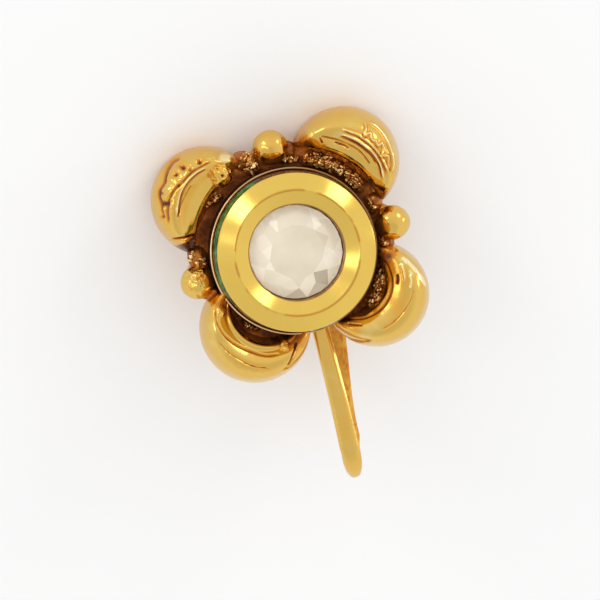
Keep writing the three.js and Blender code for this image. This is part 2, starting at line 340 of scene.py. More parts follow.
# Colours from a painted highlight through bright metal to the dark of a recess, and where on that run plain metal
# starts
LIGHT = (0.97, 0.80, 0.42)
BRIGHT = (0.75, 0.495, 0.12)
WARM = (0.78, 0.42, 0.07)
ORANGE = (0.60, 0.22, 0.025)
BROWN = (0.28, 0.075, 0.01)
DARK = (0.09, 0.025, 0.007)
CAST_TONES = ((0.0, LIGHT), (0.16, BRIGHT), (0.36, WARM), (0.56, ORANGE), (0.8, BROWN), (1.0, DARK))
PLAIN = 0.19
COLLAR_TONES = ((0.0, (0.79, 0.537, 0.11)), (0.4, (0.7, 0.39, 0.065)), (1.0, (0.26, 0.1, 0.026)))
RIM_TONES = ((0.0, (0.9, 0.68, 0.45)), (0.5, (0.4, 0.2, 0.06)), (1.0, (0.06, 0.025, 0.01)))
GROUND_TONES = (
    (0.0, (0.97, 0.78, 0.42)), (0.3, (0.85, 0.52, 0.16)), (0.55, (0.62, 0.2, 0.03)),
    (0.8, (0.36, 0.1, 0.018)), (1.0, (0.16, 0.04, 0.009)),
)
GREEN_TONES = (
    (0.0, (0.13, 0.3, 0.06)), (0.3, (0.045, 0.13, 0.025)), (0.6, (0.018, 0.045, 0.012)),
    (1.0, (0.02, 0.012, 0.006)),
)
STONE_TONES = (
    (0.0, (0.5, 0.46, 0.38)), (0.3, (0.86, 0.79, 0.66)), (0.5, (0.96, 0.9, 0.775)), (0.75, (1.0, 0.96, 0.86)),
    (1.0, (1.0, 1.0, 0.97)),
)
FOIL_TONES = ((0.3, (0.90, 0.85, 0.73)), (0.7, (0.95, 0.92, 0.84)))


def gold_material(name, colours, roughness=(0.1, 0.2), wave=0.25, grain=0.1, start=0.0):
    """Polished gold. The tone of each point runs from bright metal, painted paler at its lightest as a highlight, to
    the dark of a recess, and its sand from smooth to matt."""
    n = Nodes(bpy.data.materials.new(name))
    tone, sand = n.mark("tone"), n.mark("sand")
    shade = n.math("ADD", n.math("ADD", tone, n.cloud(-0.06, 0.06, 900, 4)), start)
    dull = n.math("ADD", n.math("MULTIPLY", tone, 0.16), n.math("MULTIPLY", sand, 0.3))
    waves = n.bump(n.noise(1500, 3), wave, 0.00004)
    scratches = n.bump(n.noise(22000, 3, 0.7), grain, 0.000006, Normal=waves)
    grit = n.math("MULTIPLY", n.noise(9000, 4, 0.7), sand)
    return n.surface({
        "Base Color": n.ramp(shade, colours),
        "Metallic": n.spread(shade, 0.4, 0.75, 1.0, 0.5),
        "Roughness": n.math("ADD", n.cloud(*roughness, 2400, 5, 0.6), dull),
        "Normal": n.bump(grit, 0.7, 0.00006, Normal=scratches),
    })


def ground_material():
    """The rough floor of the casting: dark patina with bright crumbs of solder, and the painted shadow and highlights
    that its tone carries.
    """
    n = Nodes(bpy.data.materials.new("rough_ground"))
    tone = n.mark("tone")
    shade = n.math("ADD", tone, n.cloud(-0.12, 0.12, 2500, 4, 0.7))
    return n.surface({
        "Base Color": n.ramp(shade, GROUND_TONES),
        "Metallic": n.spread(shade, 0.3, 0.7, 1.0, 0.45),
        "Roughness": n.spread(tone, 0, 1, 0.2, 0.42),
        "Specular IOR Level": 0.15,
        "Normal": n.bump(n.noise(7000, 5, 0.7), 0.6, 0.00005),
    })


def lacquer_material():
    """Gold with green lacquer over it, broken at its edges and dark where it is thin."""
    n = Nodes(bpy.data.materials.new("green_lacquer"))
    coat, drift = n.mark("coat"), n.cloud(-0.3, 0.3, 3500, 5, 0.65)
    green = n.ramp(n.math("ADD", n.spread(coat, 0.4, 1.0, 0.8, 0.27), drift), GREEN_TONES)
    gold = n.ramp(n.mark("tone"), COLLAR_TONES)
    cover = n.spread(n.math("ADD", coat, n.cloud(-0.3, 0.3, 2200, 5, 0.65)), 0.3, 0.38, 0.0, 1.0)
    return n.surface({
        "Base Color": n.add("Mix", 2, {0: cover, 6: gold, 7: green}, data_type="RGBA"),
        "Metallic": n.spread(cover, 0, 1, 1.0, 0.0),
        "Roughness": n.spread(drift, -0.3, 0.3, 0.14, 0.3),
        "Specular IOR Level": 0.25,
        "Normal": n.bump(n.math("MULTIPLY", n.noise(6000, 4, 0.6), cover), 0.5, 0.00005),
    })


def stone_material():
    """Pale clear glass over foil, each facet painted its own brightness from grey through beige to white as a painted
    reflection, and the whole given a faint painted glow.
    """
    n = Nodes(bpy.data.materials.new("clear_stone"))
    shade = n.math("ADD", n.mark("shade"), n.cloud(-0.08, 0.08, 700, 3))
    return n.surface({
        "Base Color": n.ramp(shade, STONE_TONES),
        "Transmission Weight": 0.6,
        "IOR": 1.5,
        # Painted glow: the stone emits light of its own, more where its facets are paler.
        "Emission Color": (1.0, 0.93, 0.78, 1),
        "Emission Strength": n.spread(shade, 0.3, 1.0, 0.028, 0.2),
        "Roughness": n.spread(n.noise(5000, 6, 0.75), 0.45, 0.75, 0.0, 0.06),
        "Normal": n.bump(n.noise(500, 2), 0.1, 0.00004),
    })


def foil_material():
    n = Nodes(bpy.data.materials.new("pale_foil"))
    return n.surface({
        "Base Color": n.ramp(n.noise(900, 4), FOIL_TONES),
        "Metallic": 0.4,
        "Roughness": n.cloud(0.3, 0.5, 900, 4),
        "Normal": n.bump(n.noise(1500, 3, 0.6), 1.0, 0.0003),
    })


cast_gold = gold_material("cast_gold", CAST_TONES, start=PLAIN)
clip_gold = gold_material("clip_gold", CAST_TONES, roughness=(0.15, 0.24), wave=0.08, start=PLAIN)
collar_gold = gold_material("collar_gold", COLLAR_TONES, roughness=(0.13, 0.19), wave=0.06, grain=0.05)
rim_gold = gold_material("rim_gold", RIM_TONES, roughness=(0.15, 0.3))
rough_ground = ground_material()
green_lacquer = lacquer_material()
clear_stone = stone_material()
pale_foil = foil_material()


# From its hollow to the top of its dome, each petal's own side; and the outer side that all of them share.
# Both are across and rise, as shares of the petal's width and height.
INNER_SIDES = {
    "petal_upper_right": (
        (-0.13, 0.0), (-0.1, 0.2), (-0.035, 0.45), (0.015, 0.68), (0.05, 0.8), (0.12, 0.865), (0.22, 0.905),
        (0.32, 0.935), (0.42, 0.963), (0.52, 0.985), (0.62, 0.985),
    ),
    "petal_upper_left": (
        (-0.13, 0.0), (-0.1, 0.2), (-0.035, 0.45), (0.015, 0.7), (0.05, 0.81), (0.12, 0.865), (0.24, 0.905),
        (0.34, 0.935), (0.42, 0.955), (0.5, 0.975), (0.62, 0.985),
    ),
    "petal_lower_left": (
        (-0.13, 0.0), (-0.12, 0.2), (-0.075, 0.42), (-0.02, 0.62), (0.02, 0.76), (0.07, 0.85), (0.13, 0.87),
        (0.19, 0.86), (0.3, 0.92), (0.46, 0.985), (0.6, 0.98),
    ),
    "petal_lower_right": (
        (-0.12, 0.0), (-0.09, 0.2), (-0.03, 0.45), (0.01, 0.68), (0.04, 0.79), (0.1, 0.84), (0.2, 0.9),
        (0.32, 0.955), (0.48, 0.99), (0.62, 0.98),
    ),
}
OUTER_SIDE = ((0.72, 0.93), (0.82, 0.82), (0.9, 0.66), (0.97, 0.44), (1.0, 0.23), (0.98, 0.08), (0.93, 0.0))

# Cut lines and raised lines: width and height (down where negative), then points in the flower's plane
LINES = {
    "petal_upper_left": (
        (0.06, -0.085, ((-3.5, 5.2), (-3.71, 5.18), (-4.02, 5.06), (-4.37, 4.75), (-4.61, 4.36), (-4.93, 3.99),
                        (-5.0, 3.43), (-5.05, 2.94))),
        (0.055, -0.08, ((-2.27, 4.72), (-2.75, 4.65), (-3.35, 4.51), (-3.82, 4.23), (-4.27, 4.0), (-4.64, 3.6),
                        (-4.83, 3.14), (-4.94, 2.5))),
        (0.035, -0.05, ((-2.6, 4.45), (-3.15, 4.33), (-3.57, 4.11), (-3.95, 3.76), (-4.22, 3.32), (-4.43, 2.77))),
        (0.05, 0.05, ((-2.66, 4.56), (-3.2, 4.43), (-3.66, 4.2), (-4.05, 3.83), (-4.32, 3.37), (-4.53, 2.8))),
        (0.03, -0.05, ((-4.49, 2.68), (-4.19, 3.26), (-3.71, 3.79), (-3.42, 3.99))),
        (0.05, -0.14, ((-5.0, 1.9), (-4.7, 1.87), (-4.45, 1.85), (-4.0, 1.82), (-3.69, 1.7))),
    ),
    "petal_upper_right": (
        (0.04, 0.1, ((4.52, 4.53), (4.87, 4.13), (5.06, 3.71), (5.15, 3.02), (5.1, 2.47), (4.85, 2.03))),
        (0.042, 0.1, ((3.3, 4.57), (3.73, 4.29), (4.06, 4.0), (4.43, 3.48), (4.65, 2.96), (4.77, 2.46),
                       (4.85, 2.03))),
        (0.036, 0.1, ((4.42, 4.64), (4.37, 4.27), (4.21, 3.98), (4.48, 4.03), (4.5, 3.72), (4.63, 3.63),
                       (4.67, 3.41), (4.84, 3.47), (4.86, 3.15), (4.7, 2.94), (4.96, 2.87), (4.89, 2.53),
                       (4.77, 2.46))),
        (0.055, 0.1, ((3.28, 4.32), (3.63, 4.09), (3.91, 3.83), (4.18, 3.5), (4.39, 3.16), (4.56, 2.62),
                      (4.54, 1.91))),
        (0.05, -0.07, ((3.1, 4.27), (3.53, 3.97), (3.81, 3.73), (4.06, 3.41), (4.27, 3.06), (4.42, 2.6))),
        (0.04, -0.06, ((2.34, 4.48), (2.73, 4.27), (3.13, 4.05), (3.51, 3.74), (3.86, 3.33), (4.06, 2.87),
                       (4.12, 2.61))),
        (0.035, -0.13, ((2.89, 4.05), (3.2, 3.86), (3.46, 3.6))),
        (0.03, -0.08, ((2.35, 4.41), (2.4, 4.13))),
    ),
    "petal_lower_left": (
        (0.035, -0.07, ((-4.24, -2.78), (-3.94, -3.38), (-3.47, -3.92), (-3.02, -4.31), (-2.33, -4.6))),
        (0.04, -0.07, ((-3.9, -1.3), (-4.03, -1.73), (-4.04, -2.2), (-3.83, -2.74), (-3.44, -3.24), (-2.87, -3.7),
                       (-2.33, -4.0), (-1.74, -4.08))),
        (0.05, -0.12, ((-1.58, -4.75), (-1.28, -4.35), (-0.95, -3.75))),
    ),
    "petal_lower_right": (
        (0.035, -0.06, ((4.51, -2.92), (4.32, -3.33), (3.82, -3.8), (3.21, -4.14), (2.66, -4.29))),
        (0.045, -0.16, ((4.0, -2.16), (3.96, -2.38), (3.88, -2.59))),
        (0.05, 0.04, ((4.3, -1.73), (4.31, -2.14), (4.24, -2.59))),
        (0.05, 0.035, ((4.52, -2.31), (4.51, -2.61), (4.37, -2.93))),
        (0.035, -0.08, ((1.4, -3.63), (1.67, -3.77), (1.98, -3.87))),
        (0.07, 0.04, ((4.36, -1.49), (4.66, -1.89), (4.96, -2.48), (5.09, -3.13))),
    ),
}

# Pits and knobs: x and y in the flower's plane, radius, height (down where negative)
SPOTS = {
    "petal_upper_left": (
        (-2.93, 4.85, 0.1, -0.13), (-3.68, 4.81, 0.11, -0.14), (-4.05, 4.58, 0.08, -0.12), (-3.42, 4.64, 0.07, -0.1),
        (-4.84, 3.5, 0.11, -0.13), (-4.84, 3.96, 0.07, -0.08), (-5.07, 2.95, 0.09, -0.1), (-4.08, 4.11, 0.06, -0.07),
        (-4.58, 4.09, 0.09, 0.06), (-4.46, 3.85, 0.08, 0.05), (-3.9, 4.75, 0.09, 0.06), (-3.3, 4.85, 0.1, 0.05),
        (-4.3, 4.4, 0.1, 0.06), (-4.95, 3.25, 0.09, 0.06), (-2.17, 3.97, 0.42, 0.34), (-2.22, 4.06, 0.06, -0.16),
        (-1.98, 3.8, 0.05, -0.08), (-3.92, 1.42, 0.27, 0.26),
    ),
    "petal_upper_right": ((3.9, 1.94, 0.13, -0.22), (2.0, 4.75, 0.2, 0.06)),
    "petal_lower_left": ((-3.72, -1.62, 0.22, 0.1), (-1.49, -3.82, 0.2, 0.16), (-1.49, -3.82, 0.07, -0.06)),
    "petal_lower_right": ((3.72, -1.35, 0.16, 0.08),),
}

# Facets turned to the upper left, painted pale as a highlight: x and y in the flower's plane, radius and slope
FACETS = {
    "petal_upper_left": ((-1.8, 4.7, 0.27, 0.55),),
    "petal_lower_right": ((4.3, -1.2, 0.12, 0.5), (4.55, -1.75, 0.1, 0.5)),
}
FACET_WAY = np.array([-0.616, 0.788])

# Darker orange patches, and painted highlights where negative: x and y in the flower's plane, radius and tone
PATCHES_AND_HIGHLIGHTS = {
    "petal_upper_left": (
        (-1.45, 4.2, 0.4, 0.4), (-4.2, 1.4, 0.45, 0.45), (-3.85, 2.3, 0.25, 0.2),
    ),
    "petal_upper_right": ((1.72, 4.4, 0.3, 0.4), (2.3, 4.0, 0.3, 0.25), (3.9, 1.7, 0.4, 0.35), (4.45, 1.1, 0.4, 0.35)),
    "petal_lower_left": (
        (-3.45, -1.75, 0.26, 0.5), (-3.65, -1.3, 0.25, 0.4), (-1.15, -3.6, 0.35, 0.35), (-1.75, -3.6, 0.25, 0.4),
        (-0.7, -3.85, 0.4, 0.3),
    ),
    "petal_lower_right": (
        (3.7, -1.35, 0.3, 0.5), (4.1, -1.2, 0.25, 0.35), (4.5, -1.75, 0.22, -0.2), (4.75, -2.2, 0.2, -0.2),
        (5.05, -2.7, 0.2, -0.16), (1.6, -3.95, 0.3, 0.2),
    ),
}

# Where the oxide of each petal's inner wall ends: shares of the way across, then heights where it fades
OXIDE = {
    "petal_upper_right": ((0.03, 0.1), (1.5, 2.0)), "petal_upper_left": ((0.03, 0.1), (1.5, 2.0)),
    "petal_lower_left": ((0.02, 0.05), (1.75, 2.05)), "petal_lower_right": ((0.09, 0.13), (1.5, 2.0)),
}

PETAL_STEPS = 250
PETAL_SIDES = 132
HORN_CAPS = 7
HORN_REACH = 0.22
LINE_POINTS = 60
KNOB_RISE = 0.12


def petal_grid(name):
    """The petal's rings from one horn to the other, each from its hollow over its dome to its outer edge."""
    row = PETALS[name]
    centre = PETAL_CENTRE * row["centre"]
    outer = PETAL_RADIUS * row["radius"]
    hollow = HOLLOW_RADIUS * row["hollow"]
    hollow_centre = centre + outer - PETAL_WAIST * row["waist"] - hollow
    apart = centre - hollow_centre
    horn_back = (apart**2 + outer**2 - hollow**2) / (2 * apart)
    outer_span = math.pi - math.acos(horn_back / outer)
    hollow_span = math.acos((apart - horn_back) / hollow)
    across, up = smooth_curve(INNER_SIDES[name] + OUTER_SIDE, PETAL_SIDES).T
    along = np.sin(math.pi * (np.linspace(0, 1, PETAL_STEPS) - 0.5))
    outside = circle(along * outer_span * OUTER_STOP, outer) + [centre, 0, 0]
    inside = circle(along * hollow_span * HOLLOW_STOP, hollow) + [hollow_centre, 0, 0]
    rounded = np.clip((np.abs(along) - 1 + HORN_ROUND) / HORN_ROUND, 0, 1)
    ending = 0.35 + 0.65 * np.sqrt(1 - rounded**2)
    rise = PETAL_RISE * row["rise"] * (1 - HORN_DROP * np.abs(along) ** 3) * ending
    grid = inside[:, None] + (outside - inside)[:, None] * across[:, None]
    grid[..., 0], grid[..., 1] = turned(grid[..., 0], grid[..., 1], math.radians(row["angle"]))
    grid[..., 2] = PETAL_FOOT + np.outer(rise - PETAL_FOOT, up)
    return grid, along, across


def relief(name, grid):
    """Height of the lines, pits, knobs and facets over the petal, how dark they are with their painted highlights and
    shade, and the petal's darker orange patches and painted highlights.
    """
    flat = grid.reshape(-1, 3)
    xy = flat[:, :2]
    height, tone, patches_and_highlights = np.zeros((3, len(flat)))

    def reach(x, y, radius):
        return np.hypot(xy[:, 0] - x, xy[:, 1] - y) / radius

    for width, rise, points in LINES[name]:
        distance, share = near_curve(xy, smooth_curve(points, LINE_POINTS))
        taper = between(share, 0, 0.1, 0.9, 1)
        line = bell(distance, width) * taper * (1 + 0.3 * field(flat, 0.25, 5))
        height += rise * line
        if rise < 0:
            tone += min(0.8, -7.5 * rise) * line
        else:
            # Raised lines get a painted highlight along their top and painted shade along both flanks.
            tone += 4 * rise * bell(distance - 1.9 * width, width) * taper - 0.24 * line
    for x, y, radius, rise in SPOTS[name]:
        away = reach(x, y, radius) * (1 + 0.25 * field(flat, 0.12, 9))
        if rise > KNOB_RISE:
            height += rise * np.sqrt(np.clip(1 - away**2, 0, 1))
            # Painted shade in a ring round the knob's foot.
            tone += 0.35 * bell(away - 1.12, 0.2)
        else:
            height += rise * bell(away, 1)
            tone += np.clip(-7 * rise, 0, 0.9) * bell(away, 1)
    for x, y, radius, slope in FACETS.get(name, ()):
        patch = bell(reach(x, y, radius) ** 2 * (1 + 0.45 * field(flat, 0.22, 15)), 1)
        height -= slope * ((xy - [x, y]) @ FACET_WAY) * patch
        # Painted highlight: the facet is painted paler.
        tone -= 0.16 * patch
    # Darker orange patches, and painted highlights where the tone is negative.
    for x, y, radius, level in PATCHES_AND_HIGHLIGHTS[name]:
        patches_and_highlights += level * bell((reach(x, y, radius) * (1 + 0.5 * cloudy(flat, 0.3, 19))) ** 2, 1)
    height += 0.012 * field(flat, 0.9, 2) + 0.004 * field(flat, 0.3, 3)
    return (values.reshape(grid.shape[:2]) for values in (height, tone, patches_and_highlights))


def own_marks(name, grid, upright, along, across):
    """Height and tone of the marks that one petal alone has."""

    def patch(stretch, band):
        return np.outer(between(along, *stretch), between(across, *band))

    if name == "petal_upper_left":
        rough = patch((-0.75, -0.55, 0.2, 0.4), (0.6, 0.66, 0.84, 0.9))
        step = between(across, 0.3, 0.36, 0.4, 0.45) * ease(cloudy(grid, 0.6, 39), -0.6, 0.3)
        horn = ease(grid[..., 0] * 0.05 - grid[..., 1], -1.86, -1.74) * (grid[..., 0] < -3.0)
        height = (np.abs(cloudy(grid, 0.22, 31)) * 0.09 - 0.02) * rough - 0.12 * horn * ease(upright, 0.1, 0.5)
        pits = np.clip(-cloudy(grid, 0.2, 31), 0, 1) * rough
        # Painted shade: a darker line along the step and a dark lower horn.
        return height, 0.3 * pits + 0.14 * step + 0.75 * horn * (0.7 + 0.5 * cloudy(grid, 0.35, 37))
    if name == "petal_upper_right":
        # A band on the inner side painted lighter, as a painted reflection.
        return 0, -0.05 * between(across, 0.1, 0.16, 0.5, 0.6)
    if name == "petal_lower_right":
        lip = np.outer(1 - ease(np.abs(along), 0.75, 0.95), bell(across - 0.125, 0.022))
        return -0.05 * lip, 0.55 * lip + 0.14 * patch((-0.3, 0.0, 0.75, 0.9), (0.12, 0.2, 0.4, 0.5))
    stipple = np.clip(field(grid, 0.09, 41), 0, 1) * patch((-0.2, 0, 0.25, 0.45), (0.62, 0.68, 0.76, 0.82))
    return -0.02 * stipple, 0


def make_petal(name):
    grid, along, across = petal_grid(name)
    normals = grid_normals(grid)
    upright = normals[..., 2]
    facing = ease(upright, 0.05, 0.4)
    height, tone, patches_and_highlights = relief(name, grid)
    own_height, own_tone = own_marks(name, grid, upright, along, across)
    oxide_end, oxide_fade = OXIDE[name]
    inner = np.ones((PETAL_STEPS, 1)) * (1 - ease(across, *oxide_end))
    height = height * facing + own_height
    height = height + 0.07 * inner * cloudy(grid, 0.45, 33) * ease(grid[..., 2], 0.3, 0.8)
    grid = grid + normals * height[..., None]
    level = grid[..., 2]
    patchy = 0.5 + 0.5 * cloudy(grid, 0.5, 35)
    ends = ease(np.abs(along), 0.9, 0.995)[:, None]
    tone = tone * facing + patches_and_highlights + own_tone
    tone = tone + inner * (0.34 + 0.4 * (1 - ease(level, 0.8, 1.4)) * patchy) * (1 - 0.85 * ease(level, *oxide_fade))
    # Painted shade: the horn ends darker, the more so low down, and the outer foot darker low down by the plate.
    tone = tone + ends * (0.2 + 0.35 * (1 - ease(level, 0.8, 1.5)) * patchy)
    tone = tone + 0.24 * (1 - ease(level, 0.35, 1.25)) * ease(across, 0.8, 0.95)
    caps = []
    for edge, inward in ((grid[0], grid[1]), (grid[-1], grid[-2])):
        middle = edge.mean(0)
        out = unit((edge - inward).mean(0)) * HORN_REACH
        turns = [step / (HORN_CAPS + 0.6) * math.pi / 2 for step in range(1, HORN_CAPS + 1)]
        caps.append([middle + (edge - middle) * math.cos(turn) + out * math.sin(turn) for turn in turns])
    points, faces = capped(caps[0][::-1] + list(grid) + caps[1])
    tones = np.repeat(tone, [HORN_CAPS + 1] + [1] * (PETAL_STEPS - 2) + [HORN_CAPS + 1], axis=0)
    build(name, points, faces, [cast_gold], {"tone": np.r_[tones.ravel(), tone[0].mean(), tone[-1].mean()]})


for petal_name in PETALS:
    make_petal(petal_name)


# Heaps of bright crumbs: points of a line in the flower's plane, its half width, and its height
CRUMBS = (
    (((1.85, 3.5), (2.5, 3.2), (2.95, 2.85)), 0.3, 0.6, 85),
    (((2.95, 2.85), (3.3, 2.4), (3.55, 1.9)), 0.22, 0.55, 55),
    (((3.62, -2.0), (3.3, -2.5), (2.99, -2.87), (2.69, -3.2)), 0.22, 0.6, 75),
    (((-1.0, 4.45), (-0.85, 4.15), (-0.66, 3.8)), 0.22, 0.6, 45),
    (((-3.1, 2.95), (-2.75, 3.05), (-2.46, 3.08)), 0.16, 0.45, 26),
    (((-2.75, -2.45), (-2.35, -2.8)), 0.12, 0.4, 14),
    (((-4.35, 0.95), (-4.1, 0.72), (-3.8, 0.45)), 0.2, 0.5, 34),
    (((3.85, -0.7), (4.15, -0.95)), 0.18, 0.5, 22),
    (((1.3, 3.75), (0.7, 3.85)), 0.12, 0.3, 12),
    (((3.85, 0.75), (3.8, 1.2)), 0.14, 0.4, 10),
)
PLATE_SIDES = 720
GROUND_RINGS = 64
GROUND_START = 3.2
PLATE_EDGE_ROUND = 0.09
PLATE_FOOT_ROUND = 0.06


def plate_outline(angles):
    """How far the plate reaches at each angle: the cup, and a lobe under every petal and granule."""
    lobes = [
        (row["angle"], PETAL_CENTRE * row["centre"], PETAL_RADIUS * row["radius"] * LOBE_SHARE)
        for row in PETALS.values()
    ] + [(row["angle"], GRANULE_CENTRE * row["centre"] * LUG_CENTRE_SHARE, LUG_RADIUS) for row in GRANULES.values()]
    reach = np.full(len(angles), CUP_OUTER_RADIUS)
    for angle, centre, radius in lobes:
        turn = angles - math.radians(angle)
        aside, ahead = centre * np.sin(turn), centre * np.cos(turn)
        far = ahead + np.sqrt(np.maximum(radius**2 - aside**2, 0))
        reach = np.maximum(reach, np.where((np.abs(aside) < radius) & (ahead > 0), far, 0))
    return reach


def make_plate():
    """The plate: its rough ground with heaps of crumbs, its rounded edge, and its plain back."""
    angles = spaced_angles(PLATE_SIDES)
    reach = plate_outline(angles)
    rings, tones = [], []

    def add(radius, height, tone):
        rings.append(circle(angles, radius, height))
        tones.append(np.ones(PLATE_SIDES) * tone)

    for share in np.arange(GROUND_RINGS) / (GROUND_RINGS - 1):
        radius = GROUND_START + (reach - PLATE_EDGE_ROUND - GROUND_START) * share
        flat = circle(angles, radius, PLATE_THICKNESS)
        heap = np.zeros(PLATE_SIDES)
        for points, width, rise, _ in CRUMBS:
            distance, _ = near_curve(flat[:, :2], smooth_curve(points, 16))
            heap = np.maximum(heap, bell(distance, width) * rise)
        edge = ease(reach - radius, 0.0, 0.3) * ease(radius, CUP_OUTER_RADIUS + 0.01, CUP_OUTER_RADIUS + 0.08)
        ridged = 1 - np.abs(cloudy(flat, 0.15, 51, 2)) * 2.8
        lumps = heap * (0.55 + 0.35 * ridged)
        base = 0.06 * cloudy(flat, 0.35, 61) + 0.03 * cloudy(flat, 0.12, 63)
        bright = ease(heap, 0.1, 0.25) * ease(ridged, 0.0, 0.8)
        warm = ease(cloudy(flat, 0.6, 57), -0.1, 0.5)
        # Painted shadow: the ground is darker towards the cup. Along the ridges of the crumb heaps it is paler, partly
        # the bright gold of the crumbs and partly a painted highlight.
        tone = 1.0 - 0.12 * warm - (0.25 + 0.2 * warm) * ease(radius, 3.75, 4.25) - 0.6 * bright * edge
        add(radius, PLATE_THICKNESS + (lumps + base) * edge, tone)
    for turn in np.arange(1, 7) / 6 * math.pi / 2:
        out, drop = math.sin(turn) - 1, 1 - math.cos(turn)
        add(reach + PLATE_EDGE_ROUND * out, PLATE_THICKNESS - PLATE_EDGE_ROUND * drop, 0.35)
    for height in (0.45, 0.3, 0.15):
        add(reach, height, 0.22)
    for turn in np.arange(5) / 4 * math.pi / 2:
        add(reach - PLATE_FOOT_ROUND * (1 - math.cos(turn)), PLATE_FOOT_ROUND * (1 - math.sin(turn)), 0.15)
    for share in np.linspace(0.95, 0.05, 24):
        flat = circle(angles, reach * share)
        add(reach * share, 0.006 + 0.006 * cloudy(flat, 0.6, 71), 0.1 + 0.1 * np.clip(cloudy(flat, 0.9, 73), 0, 1))
    points, faces = capped(rings)
    values = np.r_[np.concatenate(tones), 0.9, 0.1]
    picks = np.arange(len(faces)) >= (GROUND_RINGS - 1) * PLATE_SIDES
    marks = {"tone": values, "sand": np.full(len(values), 0.25)}
    build("plate", points, faces, [rough_ground, cast_gold], marks, picks=picks)


make_plate()


def ball_ways(rows, sides, cap):
    """Unit vectors over a ball, as rings from near its top to near its bottom."""
    polar = np.linspace(cap, math.pi - cap, rows)[:, None]
    return circle(spaced_angles(sides), np.sin(polar), np.cos(polar))


# Metal run between a petal and its neighbour: middle, then half sizes along x, y and z
WEBS = (
    ((-3.98, 0.78, 0.6), (0.42, 0.5, 0.48)), ((-1.05, 4.28, 0.62), (0.45, 0.42, 0.5)),
    ((4.02, 1.0, 0.55), (0.38, 0.42, 0.45)), ((4.02, -0.85, 0.6), (0.36, 0.34, 0.48)),
    ((-3.72, -0.95, 0.6), (0.4, 0.34, 0.5)), ((1.0, 4.2, 0.6), (0.36, 0.36, 0.42)),
)


def make_web(number, middle, halves):
    ways = ball_ways(40, 56, 0.03)
    lumps = 1 + 0.16 * cloudy(ways, 0.7, 200 + 5 * number) + 0.1 * np.abs(cloudy(ways, 0.25, 203 + 5 * number))
    rings = np.array(middle) + ways * np.array(halves) * lumps[..., None]
    points, faces = capped(rings[::-1])
    # Painted shade: darker low down, where the web meets the plate.
    tone = 0.5 + 0.35 * cloudy(points, 0.3, 207 + number) + 0.3 * (1 - ease(points[:, 2], 0.5, 1.0))
    marks = {"tone": tone, "sand": np.full(len(points), 0.3)}
    build(f"metal_web_{number}", points, faces, [cast_gold], marks)


for web_number, (web_middle, web_halves) in enumerate(WEBS):
    make_web(web_number, web_middle, web_halves)


def make_crumbs():
    """Bits of bright solder lying on the heaps."""
    draw = np.random.default_rng(7)
    ways = ball_ways(9, 12, 0.12)
    points, faces, tones = [], [], []
    first = 0
    for line, width, rise, count in CRUMBS:
        curve = smooth_curve(line, 40)
        last = len(curve) - 1
        for _ in range(count):
            share, aside, lift = draw.random(), draw.uniform(-1, 1), draw.random()
            place = int(share * last)
            at = curve[place] + draw.normal(0, 0.03, 2)
            along = unit(curve[min(place + 1, last)] - curve[max(place - 1, 0)])
            at = at + np.array([-along[1], along[0]]) * aside * width * 1.15
            size = draw.uniform(0.05, 0.105)
            far = np.hypot(*at)
            at = at * max(far, CUP_OUTER_RADIUS + size * 1.6 + 0.02) / far
            high = PLATE_THICKNESS + rise * (1 - 0.6 * aside**2) * (0.35 + 0.75 * lift)
            stretch = np.array([draw.uniform(0.8, 1.6), draw.uniform(0.7, 1.0), draw.uniform(0.7, 1.1)])
            turn, lean = draw.uniform(0, math.pi), draw.uniform(-0.6, 0.6)
            bit = ways * (1 + 0.35 * field(ways + 9 * first / 7.0, 0.8, 141))[..., None] * stretch * size
            flat, tall = turned(bit[..., 0], bit[..., 2], lean)
            x, y = turned(flat, bit[..., 1], turn)
            bit_points, bit_faces = capped(np.stack([at[0] + x, at[1] + y, high + tall], axis=2)[::-1])
            points.append(bit_points)
            faces.extend(tuple(i + first for i in face) for face in bit_faces)
            shade = draw.uniform(0.0, 0.45) + 0.3 * (1 - lift)
            tones.append(shade + 0.45 * ease(-(bit_points[:, 2] - high) / size, -0.3, 0.8))
            first += len(bit_points)
    build("solder_bits", np.vstack(points), faces, [rough_ground], {"tone": np.concatenate(tones)})


make_crumbs()


def rounded_outline(corners, spacing):
    """A closed outline from corners of radius, height and rounding, with points along its straight runs."""
    arcs = []
    for i, (radius, height, fillet) in enumerate(corners):
        here = np.array([radius, height])
        arc = [here]
        if fillet > 0:
            a, b = (
                here + unit(np.array(corners[j % len(corners)][:2]) - here) * fillet for j in (i - 1, i + 1)
            )
            arc = [(1 - t) ** 2 * a + 2 * t * (1 - t) * here + t**2 * b for t in np.linspace(0, 1, 6)]
        arcs.append(arc)
    outline = []
    for arc, following in zip(arcs, arcs[1:] + arcs[:1]):
        run = following[0] - arc[-1]
        parts = int(np.linalg.norm(run) / spacing) + 1
        outline += arc + [arc[-1] + run * k / parts for k in range(1, parts)]
    return np.array(outline)


CUP_SIDES = 256
CUP_SINK = 0.15
CUP_RIM_ROUND = 0.042


def make_cup():
    """A thin wall with a slightly uneven rim, painted pale along its top on the left as a highlight, and painted dark
    as shade towards the right and on the wall under the rim.
    """
    foot, inner = PLATE_THICKNESS - CUP_SINK, CUP_OUTER_RADIUS - CUP_WALL
    outline = rounded_outline((
        (CUP_OUTER_RADIUS, foot, 0), (CUP_OUTER_RADIUS, CUP_TOP, CUP_RIM_ROUND),
        (inner, CUP_TOP, CUP_RIM_ROUND), (inner, foot, 0),
    ), 0.12)
    angles = spaced_angles(CUP_SIDES)
    rings = circle(angles, outline[:, :1], outline[:, 1:])
    height = rings[..., 2] + 0.02 * field(rings, 0.8, 81) * ease(rings[..., 2], 1.2, 1.7)
    rings[..., 2] = height
    # Painted highlight and shade: the rim's top pale on the left, darker towards the right, and the wall under the rim
    # dark.
    tone = np.maximum(1 - ease(height, CUP_TOP - 0.1, CUP_TOP - 0.01), 0.35 * (1 + np.cos(angles)))
    build("cup", rings, ring_faces(len(rings), CUP_SIDES, closed=True), [rim_gold], {"tone": tone})


make_cup()

COLLAR_SIDES = 320
LACQUER_BULGE = 0.12


